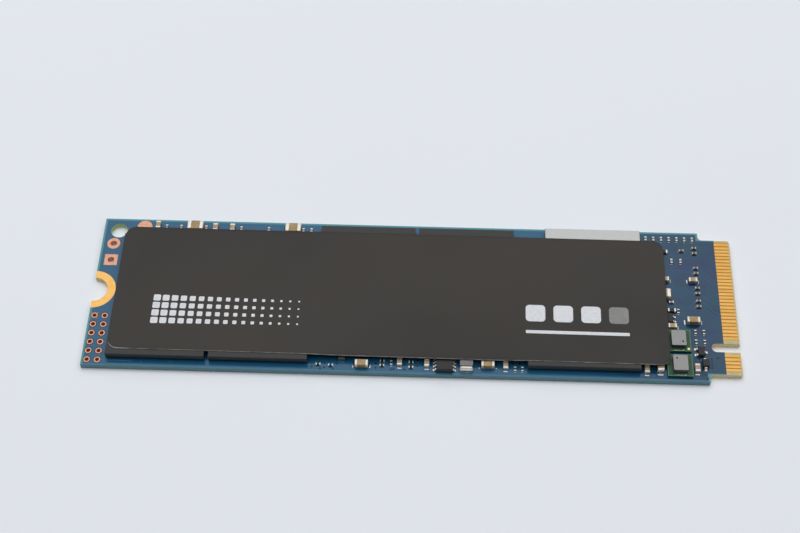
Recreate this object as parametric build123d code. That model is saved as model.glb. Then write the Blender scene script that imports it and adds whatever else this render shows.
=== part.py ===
from build123d import *
import os

# A gumstick solid state drive: a thin card with an edge connector at one end and a half-round screw notch
# at the other, memory and controller chips soldered on its upper face and a film label stuck over them.
# Millimetres, +X towards the connector, +Y towards the far long edge, +Z up, underside on Z = 0.

# Board and its copper
BOARD_THICKNESS = 0.8
COPPER = 0.04                 # plating, flush with the face in a pocket of the same depth
HEADER_ZONE = 3.0             # notch end to the first flash package
PASSIVE_ZONE = 7.5            # controller to the shoulder of the tongue
NEAR_MARGIN = 1.0             # long edge to the packages set against it
PART_STRIP = 3.0              # strip of small parts along the other long edge

# Connector tongue
TONGUE_LENGTH = 4.0
TONGUE_INSET = 1.075          # step from the long edge to the side of the tongue
TONGUE_CORNER = 0.25
TONGUE_BEVEL = 0.15
SHOULDER_RADIUS = 0.5
KEY_WIDTH = 1.2
KEY_DEPTH = 3.5
KEY_OFFSET = 6.125            # key slot from the middle of the tongue, towards the near edge
CONTACT_LENGTH = 1.8
CONTACT_WIDTH = 0.35
CONTACT_PITCH = 0.5
CONTACT_MARGIN = 0.675        # side of the tongue to the first upper contact
CONTACT_SETBACK = 0.2         # contact to the end of the tongue
KEY_CLEARANCE = 0.45          # key slot to the nearest contact's middle line

# Screw notch, tooling hole, header and test points
NOTCH_RADIUS = 1.75
RING_WIDTH = 1.0
TOOLING_HOLE = 2.2
TOOLING_FROM_END = 1.95
TOOLING_FROM_EDGE = 1.85
TEST_PAD = 1.65
TEST_HOLE = 0.82
TEST_PITCH = 2.54
TEST_FROM_END = 1.5
TEST_GAP = 0.125              # tooling hole to the round test pad
HEADER_ROWS = 6
HEADER_COLUMNS = 2
HEADER_PITCH = 1.27
HEADER_PAD = 0.8
HEADER_HOLE = 0.52
HEADER_FROM_END = 0.69
HEADER_FROM_EDGE = 0.79
HEADER_SIDE_COUNT = 16        # sides that stand for a circle on the small header holes
FIDUCIAL_DIAMETER = 1.9
FIDUCIAL_FROM_END = 5.15
FIDUCIAL_FROM_EDGE = 1.15

# Chip packages: balls, substrate and body stack up to the same height under the label
BALL_HEIGHT = 0.22
BALL_WIDTH = 0.4
BALL_PITCH = 1.0
BALL_EDGE = 1.0               # side of a package to its outer row of balls, at least
SUBSTRATE = 0.2
BODY_HEIGHT = 0.63
BODY_CHAMFER = 0.05
FLASH_COUNT = 4
FLASH_WIDTH = 12.0
FLASH_LENGTH = 18.0
FLASH_GAP = 0.5
CACHE_LENGTH = 13.6
CACHE_WIDTH = 7.5
CACHE_GAP = 1.6               # last flash package to the cache
CONTROLLER_SIZE = 12.0
CONTROLLER_GAP = 4.0          # last flash package to the controller
CONTROLLER_MARGIN = 0.55      # controller to the far edge
CHIP_GAP = 0.95               # cache to controller
LID_ROOF = 0.32
LID_WALL = 1.2
DIE_WIDTH = 6.4
DIE_DEPTH = 5.2

# Rows of small parts keep their own length when the packages beside them get narrower
FAR_ROW = 25.0                # first to third flash package
NEAR_ROW = 26.1               # third flash package to the cache
CACHE_CLEARANCE = 0.8         # cache to the field of parts by the connector

# Chip parts: length, width, height and length of the tinned ends
CHIP_2012 = (2.0, 1.25, 0.85, 0.5)
CHIP_1608 = (1.6, 0.8, 0.8, 0.32)
CHIP_1005 = (1.08, 0.62, 0.58, 0.27)
RESISTOR_1005 = (1.0, 0.5, 0.35, 0.22)
CHIP_0603 = (0.6, 0.3, 0.28, 0.16)
COIL = (2.0, 1.6, 0.85, 0.5)
BEAD = (1.4, 0.8, 0.6, 0.3)
END_STEP = 0.02               # how far the tinned ends stand proud of the body

# Places of small parts: along the card from the start of their row, and in from the long edge
FAR_2012 = ((8.75, 1.17), (21.33, 1.17))
FAR_1005 = ((3.92, 1.07), (11.32, 1.22), (13.5, 1.22))
FAR_0603 = (5.03, 6.89, 10.11, 14.64, 18.18, 22.62, 23.66)
FAR_0603_INSET = 1.2
NEAR_1608 = ((6.07, 1.0), (21.31, 1.34))
NEAR_1005 = ((10.66, 1.46), (13.95, 1.4), (23.46, 1.4))
NEAR_0603_ALONG = ((0.83, 0.93), (2.34, 0.84), (8.55, 1.62), (8.55, 1.0), (12.05, 1.55), (12.05, 0.85))
NEAR_0603_ACROSS = ((9.66, 1.37), (24.6, 0.98), (25.48, 0.98))
BEAD_PLACE = (3.65, 2.18)
COIL_PLACE = (18.73, 1.4)
LOGIC_PLACE = (16.1, 1.32)

# Field by the connector: along the card from the controller, and in from the far or the near edge
FIELD_ROW_START = 0.85
FIELD_ROW_PITCH = 0.98
FIELD_ROW_COUNT = 7
FIELD_ROW_INSET = 1.15
LANE_PLACE = 6.88             # coupling capacitors, one pair for each lane
LANE_SPACING = 0.8
LANE_INSETS = (2.85, 5.92, 8.95, 10.89)
FIELD_FAR_0603_ALONG = ((5.26, 2.89),)
FIELD_FAR_0603_ACROSS = ((3.92, 4.53), (5.05, 4.53))
FIELD_FAR_1005 = ((6.39, 7.48), (2.86, 7.45))
FIELD_FAR_RESISTORS = ((3.0, 3.14),)
FIELD_NEAR_2012 = ((2.45, 12.25),)
FIELD_NEAR_1608_ALONG = ((6.0, 8.44),)
FIELD_NEAR_1608_ACROSS = ((1.58, 1.85),)
FIELD_NEAR_1005_ALONG = ((3.39, 7.62),)
FIELD_NEAR_1005_ACROSS = ((-0.06, 1.4), (6.01, 1.71))
FIELD_NEAR_0603_ALONG = ((3.5, 11.26),)
FIELD_NEAR_0603_ACROSS = ((4.28, 9.91), (6.15, 6.93), (7.18, 6.93), (6.15, 5.51), (7.18, 5.51))
FIELD_NEAR_RESISTORS = ((3.48, 10.02),)
SWITCH_PLACE = (2.9, 8.75)
TRANSISTOR_PLACE = (6.63, 4.1)
DIODE_PLACE = (7.04, 2.4)
MODULE_PLACES = ((3.93, 5.55), (3.93, 2.05))

# Power modules
MODULE_SIZE = 3.05
MODULE_LAND = 0.5
MODULE_LAND_HEIGHT = 0.06
MODULE_BOARD = 0.32
MODULE_BLOCK_WIDTH = 1.75
MODULE_BLOCK_DEPTH = 2.1
MODULE_BLOCK_HEIGHT = 0.64
MODULE_BLOCK_CORNER = 0.1

# Leaded parts: width, depth and height of the body, number of leads and their pitch
LOGIC_BODY = (2.02, 2.0, 0.65)
LOGIC_LEAD_COUNT = 8
LOGIC_PITCH = 0.5
SWITCH_BODY = (1.25, 1.3, 0.5)
SWITCH_LEAD_COUNT = 4
SWITCH_PITCH = 0.65
TRANSISTOR_BODY = (0.8, 1.2, 0.45)
TRANSISTOR_PITCH = 0.8
TRANSISTOR_LEAD_WIDTH = 0.28
DIODE_BODY = (1.0, 0.78, 0.58)
DIODE_LEAD_WIDTH = 0.3
LEAD_REACH = 0.38
LEAD_FOOT = 0.22
LEAD_WIDTH = 0.2
LEAD_THICKNESS = 0.1
BODY_STANDOFF = 0.06

# Label
LABEL_THICKNESS = 0.1
LABEL_RADIUS = 1.4
LABEL_INSET = 0.1             # first flash package to the end of the label
LABEL_OVERHANG = 2.8          # past the controller, towards the connector
LABEL_NEAR_MARGIN = 0.8
LABEL_FAR_MARGIN = 1.05
LABEL_SKEW = -0.2             # degrees, as it was stuck down

# Places worked out from the sizes above, along the card from its notch end
flash_pitch = FLASH_WIDTH + FLASH_GAP
flash_starts = [HEADER_ZONE + index * flash_pitch for index in range(2)]
third_start = HEADER_ZONE + max(2 * flash_pitch, FAR_ROW)
flash_starts += [third_start + index * flash_pitch for index in range(FLASH_COUNT - 2)]
flash_end = flash_starts[-1] + FLASH_WIDTH
cache_start = max(flash_end + CACHE_GAP, third_start + NEAR_ROW)
controller_start = cache_start + CONTROLLER_GAP - CACHE_GAP
field_start = max(controller_start + CONTROLLER_SIZE, cache_start + CACHE_LENGTH + CACHE_CLEARANCE)
board_length = field_start + PASSIVE_ZONE + TONGUE_LENGTH

# The card is as wide as the wider of its two stacks of chips
flash_stack = NEAR_MARGIN + FLASH_LENGTH + PART_STRIP
chip_stack = NEAR_MARGIN + CACHE_WIDTH + CHIP_GAP + CONTROLLER_SIZE + CONTROLLER_MARGIN
board_width = max(flash_stack, chip_stack)

left = -board_length / 2
right = board_length / 2
near = -board_width / 2
far = board_width / 2
shoulder = right - TONGUE_LENGTH
tongue_width = board_width - 2 * TONGUE_INSET
contact_start = right - CONTACT_SETBACK - CONTACT_LENGTH
top = BOARD_THICKNESS
package_height = BALL_HEIGHT + SUBSTRATE + BODY_HEIGHT
field = left + field_start
far_row = left + flash_starts[0]
near_row = left + flash_starts[2]


def block(width, depth, height, x, y, z):
    """A box given by its size, the middle of its plan and its underside."""
    return Pos(x, y, z) * Box(width, depth, height, align=(Align.CENTER, Align.CENTER, Align.MIN))


def plate(plan, thickness, z):
    """A flat plate of a plan drawn at its place, with its underside at z."""
    return Pos(0, 0, z) * extrude(plan, thickness)


def save(name, shapes):
    """Write the solids of one sub-part to its own file."""
    solids = [solid for shape in shapes for solid in shape.solids()]
    export_step(Compound(solids), f"parts/{name}.step")


def make_contacts(first, z):
    """Contacts across the tongue from the first one's middle line, none of them beside the key slot."""
    count = int(2 * first / CONTACT_PITCH + 0.001) + 1
    rows = [first - CONTACT_PITCH * index for index in range(count)]
    keep_off = KEY_WIDTH / 2 + KEY_CLEARANCE
    middle = contact_start + CONTACT_LENGTH / 2
    return [
        block(CONTACT_LENGTH, CONTACT_WIDTH, COPPER, middle, y, z)
        for y in rows
        if abs(y + KEY_OFFSET) > keep_off
    ]


def make_ring(z):
    """Half ring of plating round the screw notch."""
    outer = NOTCH_RADIUS + RING_WIDTH
    ring = Pos(left, 0) * (Circle(outer) - Circle(NOTCH_RADIUS))
    half = Pos(left + outer / 2, 0) * Rectangle(outer, 2 * outer)
    return plate(ring & half, COPPER, z)


def make_eyelet(pad, hole, x, y):
    """A plated hole: a copper eyelet through the board, flush with both faces."""
    return plate(Pos(x, y) * (pad - hole), top, 0)


def make_board(plating, drilled):
    """The laminate: outline, notch, key slot and drilled pads, with a pocket for each piece of plating."""
    card = Pos((left + shoulder) / 2, 0) * Rectangle(shoulder - left, board_width)
    tongue = Pos((shoulder + right) / 2, 0) * Rectangle(TONGUE_LENGTH, tongue_width)
    outline = card + tongue
    inner_corners = [v for v in outline.vertices() if abs(v.X - shoulder) < 0.01 and abs(v.Y) < far - 0.01]
    outline = fillet(inner_corners, SHOULDER_RADIUS)
    end_corners = outline.vertices().group_by(Axis.X)[-1]
    outline = chamfer(end_corners, TONGUE_CORNER)

    slot_end = right - KEY_DEPTH + KEY_WIDTH / 2
    slot = Pos((slot_end + right) / 2, -KEY_OFFSET) * Rectangle(right - slot_end, KEY_WIDTH)
    slot += Pos(slot_end, -KEY_OFFSET) * Circle(KEY_WIDTH / 2)
    tooling = Pos(left + TOOLING_FROM_END, far - TOOLING_FROM_EDGE) * Circle(TOOLING_HOLE / 2)
    outline -= [Pos(left, 0) * Circle(NOTCH_RADIUS), slot, tooling]
    outline -= [Pos(x, y) * pad for pad, hole, x, y in drilled]
    board = plate(outline, top, 0)

    bare = right - contact_start
    for z in (0, top - COPPER):
        board -= block(bare, board_width, COPPER, contact_start + bare / 2, 0, z)
    end_edges = board.edges().filter_by(Axis.Y).group_by(Axis.X)[-1]
    board = chamfer(end_edges, TONGUE_BEVEL)
    for piece in plating:
        board -= piece
    return board


def make_balls(width, depth, x, y):
    """The outer ring of solder balls under a package, as short square posts from pad to pad."""
    columns = int((width - 2 * BALL_EDGE) / BALL_PITCH + 0.001) + 1
    rows = int((depth - 2 * BALL_EDGE) / BALL_PITCH + 0.001) + 1
    posts = []
    for column in range(columns):
        for row in range(rows):
            if column in (0, columns - 1) or row in (0, rows - 1):
                across = x + (column - (columns - 1) / 2) * BALL_PITCH
                along = y + (row - (rows - 1) / 2) * BALL_PITCH
                posts.append(block(BALL_WIDTH, BALL_WIDTH, BALL_HEIGHT, across, along, top))
    return posts


def make_substrate(width, depth, x, y):
    """The thin board inside a package, on its balls."""
    return block(width, depth, SUBSTRATE, x, y, top + BALL_HEIGHT)


def make_moulded_body(width, depth, x, y):
    """The black moulding of a package, sawn square, with its upper edges broken."""
    body = block(width, depth, BODY_HEIGHT, x, y, top + BALL_HEIGHT + SUBSTRATE)
    return chamfer(body.faces().sort_by(Axis.Z)[-1].edges(), BODY_CHAMFER)


def make_lid(x, y):
    """The controller's lid: a pressed metal cap whose rim is bonded to the substrate."""
    cap = make_moulded_body(CONTROLLER_SIZE, CONTROLLER_SIZE, x, y)
    inside = CONTROLLER_SIZE - 2 * LID_WALL
    return cap - block(inside, inside, BODY_HEIGHT - LID_ROOF, x, y, top + BALL_HEIGHT + SUBSTRATE)


def make_die(x, y):
    """The controller's die, between its substrate and the roof of the lid."""
    return block(DIE_WIDTH, DIE_DEPTH, BODY_HEIGHT - LID_ROOF, x, y, top + BALL_HEIGHT + SUBSTRATE)


def make_chip(size, x, y, turned):
    """A chip part on the board: its body, and the tinned end at each side of it."""
    length, width, height, end = size
    place = Pos(x, y, top) * Rot(0, 0, 90 if turned else 0)
    body = place * block(length - 2 * end, width - 2 * END_STEP, height - END_STEP, 0, 0, 0)
    reach = (length - end) / 2
    ends = [place * block(end, width, height, side * reach, 0, 0) for side in (-1, 1)]
    return body, ends


def from_far(start, places, turned=False):
    """Places on the board of parts set in from the far edge, along the card or turned across it."""
    return [(start + along, far - inset, turned) for along, inset in places]


def from_near(start, places, turned=False):
    """Places on the board of parts set in from the near edge, along the card or turned across it."""
    return [(start + along, near + inset, turned) for along, inset in places]


def save_chips(name, size, places):
    """Write one size of chip part: all bodies in one file and all tinned ends in another."""
    chips = [make_chip(size, *place) for place in places]
    save(f"{name}_bodies", [body for body, ends in chips])
    save(f"{name}_ends", [end for body, ends in chips for end in ends])


def make_lead(rise, width):
    """A bent lead in the plane of X and Z: it leaves the body at X = 0 and steps down to its foot."""
    knee = LEAD_REACH - LEAD_FOOT
    lead = Polyline(
        (0, rise),
        (knee, rise),
        (knee, LEAD_THICKNESS),
        (LEAD_REACH, LEAD_THICKNESS),
        (LEAD_REACH, 0),
        (knee - LEAD_THICKNESS, 0),
        (knee - LEAD_THICKNESS, rise - LEAD_THICKNESS),
        (0, rise - LEAD_THICKNESS),
        close=True,
    )
    return extrude(Plane.XZ * make_face(lead), width / 2, both=True)


def save_leaded(name, size, start, place, right_rows, left_rows, lead_width, turned=0):
    """Write a leaded part: a moulded body, and bent leads at the given rows of its right and left sides."""
    width, depth, height = size
    along, inset = place
    seat = Pos(start + along, near + inset, top) * Rot(0, 0, turned)
    body = block(width, depth, height, 0, 0, BODY_STANDOFF)
    body = chamfer(body.faces().sort_by(Axis.Z)[-1].edges(), BODY_CHAMFER)
    lead = make_lead(BODY_STANDOFF + height / 2, lead_width)
    leads = [Pos(width / 2, row, 0) * lead for row in right_rows]
    leads += [Pos(-width / 2, row, 0) * Rot(0, 0, 180) * lead for row in left_rows]
    save(f"{name}_body", [seat * body])
    save(f"{name}_leads", [seat * one for one in leads])


def spread(count, pitch):
    """Rows of a part's leads, evenly about its middle."""
    return [(index - (count - 1) / 2) * pitch for index in range(count)]


def make_module_block(x, y, z):
    """The pressed block of a power module, with its upright corners taken off."""
    body = block(MODULE_BLOCK_WIDTH, MODULE_BLOCK_DEPTH, MODULE_BLOCK_HEIGHT, x, y, z)
    return chamfer(body.edges().filter_by(Axis.Z), MODULE_BLOCK_CORNER)


def make_label():
    """The printed film, stuck on the tops of the packages a little askew."""
    start = far_row + LABEL_INSET
    end = left + controller_start + CONTROLLER_SIZE + LABEL_OVERHANG
    low = near + NEAR_MARGIN + LABEL_NEAR_MARGIN
    high = far - NEAR_MARGIN - LABEL_FAR_MARGIN
    film = RectangleRounded(end - start, high - low, LABEL_RADIUS)
    film = Pos((start + end) / 2, (low + high) / 2) * Rot(0, 0, LABEL_SKEW) * film
    return plate(film, LABEL_THICKNESS, top + package_height)


os.makedirs("parts", exist_ok=True)

# Plated holes of the header, the first of them square, and the two test points
header_holes = []
for column in range(HEADER_COLUMNS):
    for row in range(HEADER_ROWS):
        first = column == 0 and row == HEADER_ROWS - 1
        round_pad = RegularPolygon(HEADER_PAD / 2, HEADER_SIDE_COUNT)
        pad = Rectangle(HEADER_PAD, HEADER_PAD) if first else round_pad
        hole = RegularPolygon(HEADER_HOLE / 2, HEADER_SIDE_COUNT)
        x = left + HEADER_FROM_END + column * HEADER_PITCH
        y = near + HEADER_FROM_EDGE + row * HEADER_PITCH
        header_holes.append((pad, hole, x, y))
test_x = left + TEST_FROM_END
test_y = far - TOOLING_FROM_EDGE - TOOLING_HOLE / 2 - TEST_GAP - TEST_PAD / 2
test_holes = [
    (Circle(TEST_PAD / 2), Circle(TEST_HOLE / 2), test_x, test_y),
    (Rectangle(TEST_PAD, TEST_PAD), Circle(TEST_HOLE / 2), test_x, test_y - TEST_PITCH),
]

# The card and its plating
ring_top = make_ring(top - COPPER)
ring_bottom = make_ring(0)
fiducial_plan = Pos(left + FIDUCIAL_FROM_END, far - FIDUCIAL_FROM_EDGE) * Circle(FIDUCIAL_DIAMETER / 2)
fiducial = plate(fiducial_plan, COPPER, top - COPPER)
upper_contact = tongue_width / 2 - CONTACT_MARGIN
save("circuit_board", [make_board([ring_top, ring_bottom, fiducial], header_holes + test_holes)])
save("edge_contacts_top", make_contacts(upper_contact, top - COPPER))
save("edge_contacts_bottom", make_contacts(upper_contact - CONTACT_PITCH / 2, 0))
save("ground_ring_top", [ring_top])
save("ground_ring_bottom", [ring_bottom])
save("header_eyelets", [make_eyelet(*hole) for hole in header_holes])
save("test_point_eyelets", [make_eyelet(*hole) for hole in test_holes])
save("fiducial_pad", [fiducial])

# Flash memory: two packages against the near edge, then two against the far edge
flash_near = near + NEAR_MARGIN + FLASH_LENGTH / 2
flash_far = far - NEAR_MARGIN - FLASH_LENGTH / 2
for index, start in enumerate(flash_starts):
    plan = (FLASH_WIDTH, FLASH_LENGTH, left + start + FLASH_WIDTH / 2, flash_near if index < 2 else flash_far)
    save(f"flash_body_{index + 1}", [make_moulded_body(*plan)])
    save(f"flash_substrate_{index + 1}", [make_substrate(*plan)])
    save(f"flash_balls_{index + 1}", make_balls(*plan))

# Cache memory at the near edge
cache_x = left + cache_start + CACHE_LENGTH / 2
cache_y = near + NEAR_MARGIN + CACHE_WIDTH / 2
cache_plan = (CACHE_LENGTH, CACHE_WIDTH, cache_x, cache_y)
save("cache_body", [make_moulded_body(*cache_plan)])
save("cache_substrate", [make_substrate(*cache_plan)])
save("cache_balls", make_balls(*cache_plan))

# Controller at the far edge, with its die under a metal lid
controller_x = left + controller_start + CONTROLLER_SIZE / 2
controller_y = far - CONTROLLER_MARGIN - CONTROLLER_SIZE / 2
controller_plan = (CONTROLLER_SIZE, CONTROLLER_SIZE, controller_x, controller_y)
save("controller_lid", [make_lid(controller_x, controller_y)])
save("controller_die", [make_die(controller_x, controller_y)])
save("controller_substrate", [make_substrate(*controller_plan)])
save("controller_balls", make_balls(*controller_plan))

# Power modules: a grey block on a small green board, soldered down on lands
lands = []
land_reach = (MODULE_SIZE - MODULE_LAND) / 2
for index, (along, inset) in enumerate(MODULE_PLACES):
    x, y = field + along, near + inset
    under = top + MODULE_LAND_HEIGHT
    for side in (-land_reach, land_reach):
        for end in (-land_reach, land_reach):
            lands.append(block(MODULE_LAND, MODULE_LAND, MODULE_LAND_HEIGHT, x + side, y + end, top))
    save(f"power_module_board_{index + 1}", [block(MODULE_SIZE, MODULE_SIZE, MODULE_BOARD, x, y, under)])
    save(f"power_module_block_{index + 1}", [make_module_block(x, y, under + MODULE_BOARD)])
save("power_module_lands", lands)

# Ceramic capacitors, largest first
save_chips(
    "capacitor_2012",
    CHIP_2012,
    from_far(far_row, FAR_2012) + from_near(field, FIELD_NEAR_2012),
)
save_chips(
    "capacitor_1608",
    CHIP_1608,
    from_near(near_row, NEAR_1608)
    + from_near(field, FIELD_NEAR_1608_ALONG)
    + from_near(field, FIELD_NEAR_1608_ACROSS, turned=True),
)
save_chips(
    "capacitor_1005",
    CHIP_1005,
    from_far(far_row, FAR_1005, turned=True)
    + from_near(near_row, NEAR_1005, turned=True)
    + from_far(field, FIELD_FAR_1005)
    + from_near(field, FIELD_NEAR_1005_ALONG)
    + from_near(field, FIELD_NEAR_1005_ACROSS, turned=True),
)

# Chip resistors, and the smallest chips, which stand in rows and in pairs
save_chips(
    "resistor_1005",
    RESISTOR_1005,
    from_far(field, FIELD_FAR_RESISTORS) + from_near(field, FIELD_NEAR_RESISTORS),
)
field_row = [(FIELD_ROW_START + index * FIELD_ROW_PITCH, FIELD_ROW_INSET) for index in range(FIELD_ROW_COUNT)]
lanes = [(LANE_PLACE, inset + side * LANE_SPACING / 2) for inset in LANE_INSETS for side in (-1, 1)]
save_chips(
    "chip_0603",
    CHIP_0603,
    from_far(far_row, [(along, FAR_0603_INSET) for along in FAR_0603], turned=True)
    + from_near(near_row, NEAR_0603_ALONG)
    + from_near(near_row, NEAR_0603_ACROSS, turned=True)
    + from_far(field, field_row, turned=True)
    + from_far(field, lanes)
    + from_far(field, FIELD_FAR_0603_ALONG)
    + from_far(field, FIELD_FAR_0603_ACROSS, turned=True)
    + from_near(field, FIELD_NEAR_0603_ALONG)
    + from_near(field, FIELD_NEAR_0603_ACROSS, turned=True),
)

# Inductors along the near edge
save_chips("inductor", COIL, from_near(near_row, [COIL_PLACE], turned=True))
save_chips("filter_bead", BEAD, from_near(near_row, [BEAD_PLACE], turned=True))

# Leaded parts
logic_rows = spread(LOGIC_LEAD_COUNT // 2, LOGIC_PITCH)
switch_rows = spread(SWITCH_LEAD_COUNT // 2, SWITCH_PITCH)
transistor_rows = spread(2, TRANSISTOR_PITCH)
save_leaded("logic_chip", LOGIC_BODY, near_row, LOGIC_PLACE, logic_rows, logic_rows, LEAD_WIDTH)
save_leaded("switch_chip", SWITCH_BODY, field, SWITCH_PLACE, switch_rows, switch_rows, LEAD_WIDTH)
save_leaded(
    "transistor", TRANSISTOR_BODY, field, TRANSISTOR_PLACE, [0], transistor_rows, TRANSISTOR_LEAD_WIDTH
)
save_leaded("diode", DIODE_BODY, field, DIODE_PLACE, [0], [0], DIODE_LEAD_WIDTH, turned=90)

# The label, last on
save("product_label", [make_label()])
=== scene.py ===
import math

import bpy
import numpy as np
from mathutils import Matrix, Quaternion, Vector


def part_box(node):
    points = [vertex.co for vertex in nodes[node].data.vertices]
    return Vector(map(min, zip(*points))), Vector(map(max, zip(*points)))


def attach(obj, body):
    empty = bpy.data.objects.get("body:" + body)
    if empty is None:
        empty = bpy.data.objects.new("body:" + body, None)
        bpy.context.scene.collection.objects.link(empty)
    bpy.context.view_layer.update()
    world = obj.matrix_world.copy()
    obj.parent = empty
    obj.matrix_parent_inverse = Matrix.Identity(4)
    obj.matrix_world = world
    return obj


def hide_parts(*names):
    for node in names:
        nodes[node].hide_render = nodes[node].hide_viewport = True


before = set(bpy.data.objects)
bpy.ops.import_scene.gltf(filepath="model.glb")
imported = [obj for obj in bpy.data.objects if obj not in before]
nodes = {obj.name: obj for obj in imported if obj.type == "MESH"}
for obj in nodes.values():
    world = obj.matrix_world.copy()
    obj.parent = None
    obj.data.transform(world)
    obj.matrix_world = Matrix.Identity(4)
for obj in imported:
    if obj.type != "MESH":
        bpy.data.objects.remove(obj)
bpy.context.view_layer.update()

# A gumstick solid state drive, dressed in the order in which it is put together. Lengths are written in
# millimetres times MM, in the frame of the CAD model: +X to the connector, +Y to the far long edge, +Z up.


# Circuit board: glass cloth and epoxy pressed with copper foil, routed to shape and coated with blue
# solder mask. The mask stops just short of the cut edges and well short of the contacts, where laminate
# shows.
MM = 0.001
MASK_DEPTH = 0.02 * MM        # mask of the underside, behind the face of the plating
MASK_EDGE = 0.2 * MM          # strip of thin mask along the cut edges
LEVEL_LIMIT = 0.9             # upward part of a normal, past which a face counts as level
OUTLINE_SLACK = 0.05 * MM     # faces this near to the outline belong to its cut edge
FIELD_START = 22 * MM         # from here to the contacts the upper face grows darker
FIELD_BLEND = 11 * MM
TONGUE_LENGTH = 4 * MM
TONGUE_MARGIN = 0.5 * MM      # upper contacts to the far side of the tongue
TONGUE_STRIP = 0.07 * MM      # thin mask along the sides of the tongue
GILT_STRIP = 0.3 * MM         # gilt laminate beside the last contact
GILT_BLEND = 0.05 * MM
CONTACT_BLEND = 0.02 * MM
LAMINATE_GRAIN = 0.4          # share of the grain in the colour of a cut edge
TONE_LIMITS = (0.3, 0.7)      # values of a noise at which a finish reaches its two tones
DRIFT_LIMITS = (0.38, 0.65)   # and those between which a drift sets in


def srgb(red, green, blue):
    """A colour in 0 to 255, as a display shows it, turned into the linear values that shaders take."""
    share = np.array((red, green, blue)) / 255
    linear = np.where(share <= 0.04045, share / 12.92, ((share + 0.055) / 1.055) ** 2.4)
    return (*linear.tolist(), 1.0)


def add_node(tree, kind, inputs, **settings):
    """A shader node with its inputs filled in: a socket is linked, anything else is set as a constant."""
    node = tree.nodes.new(kind)
    for name, value in settings.items():
        setattr(node, name, value)
    for name, value in inputs.items():
        if isinstance(value, bpy.types.NodeSocket):
            tree.links.new(value, node.inputs[name])
        else:
            node.inputs[name].default_value = value
    return node


def add_ramp(tree, factor, stops):
    """A colour that follows a factor through stops, each a position and a colour."""
    node = add_node(tree, "ShaderNodeValToRGB", {"Fac": factor})
    elements = node.color_ramp.elements
    for position, colour in stops[2:]:
        elements.new(position)
    for element, (position, colour) in zip(elements, stops):
        element.position = position
        element.color = srgb(*colour)
    return node.outputs["Color"]


def add_step(tree, value, start, end, share=1.0):
    """A factor that goes from 0 where the value is at start to the given share where it is at end."""
    limits = {"Value": value, "From Min": start, "From Max": end, "To Max": share}
    return add_node(tree, "ShaderNodeMapRange", limits).outputs["Result"]


def add_mix(tree, factor, first, second):
    """A colour between two others: the first where the factor is 0, the second where it is 1."""
    inputs = {"Factor": factor, 6: first, 7: second}
    return add_node(tree, "ShaderNodeMix", inputs, data_type="RGBA").outputs[2]


def make_material(name, tones, grain, roughness, metallic=0.0, relief=0.0, stretch=(1, 1, 1), specular=0.5):
    """A finish whose colour, gloss and height wander together with a noise of the given grain.

    The noise reads object coordinates. Tones and roughness are pairs of ends, and relief is the height of
    the bumps.
    """
    material = bpy.data.materials.new(name)
    material.use_nodes = True
    tree = material.node_tree
    shader = tree.nodes["Principled BSDF"]
    place = add_node(tree, "ShaderNodeTexCoord", {}).outputs["Object"]
    place = add_node(tree, "ShaderNodeMapping", {"Vector": place, "Scale": stretch}).outputs["Vector"]
    noise = add_node(tree, "ShaderNodeTexNoise", {"Vector": place, "Scale": 1 / grain, "Detail": 5.0})
    factor = add_step(tree, noise.outputs["Fac"], *TONE_LIMITS)
    gloss = {"Value": factor, "To Min": roughness[0], "To Max": roughness[1]}
    gloss = add_node(tree, "ShaderNodeMapRange", gloss).outputs["Result"]
    bump = add_node(tree, "ShaderNodeBump", {"Height": factor, "Distance": relief}).outputs["Normal"]
    tree.links.new(add_ramp(tree, factor, ((0.0, tones[0]), (1.0, tones[1]))), shader.inputs["Base Color"])
    tree.links.new(gloss, shader.inputs["Roughness"])
    tree.links.new(bump, shader.inputs["Normal"])
    shader.inputs["Metallic"].default_value = metallic
    shader.inputs["Specular IOR Level"].default_value = specular
    return material


def add_drift(material, colour, grain, share):
    """Soft patches of a second colour over a finish, each mixed in by the given share at most."""
    tree = material.node_tree
    target = tree.nodes["Principled BSDF"].inputs["Base Color"]
    place = add_node(tree, "ShaderNodeTexCoord", {}).outputs["Object"]
    noise = add_node(tree, "ShaderNodeTexNoise", {"Vector": place, "Scale": 1 / grain, "Detail": 2.0})
    factor = add_step(tree, noise.outputs["Fac"], *DRIFT_LIMITS, share)
    tree.links.new(add_mix(tree, factor, target.links[0].from_socket, srgb(*colour)), target)


def add_band(material, colour, soft, share=1.0, **limits):
    """A second colour mixed into a finish between two places along each named axis.

    Beyond the limits it fades out over the soft length.
    """
    tree = material.node_tree
    target = tree.nodes["Principled BSDF"].inputs["Base Color"]
    place = add_node(tree, "ShaderNodeTexCoord", {}).outputs["Object"]
    axes = add_node(tree, "ShaderNodeSeparateXYZ", {"Vector": place}).outputs
    band = share
    for axis, (low, high) in limits.items():
        for start, end in ((low - soft, low), (high + soft, high)):
            step = add_step(tree, axes[axis], start, end, share)
            band = add_node(tree, "ShaderNodeMath", {0: band, 1: step}, operation="MINIMUM").outputs[0]
    tree.links.new(add_mix(tree, band, target.links[0].from_socket, srgb(*colour)), target)


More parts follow.
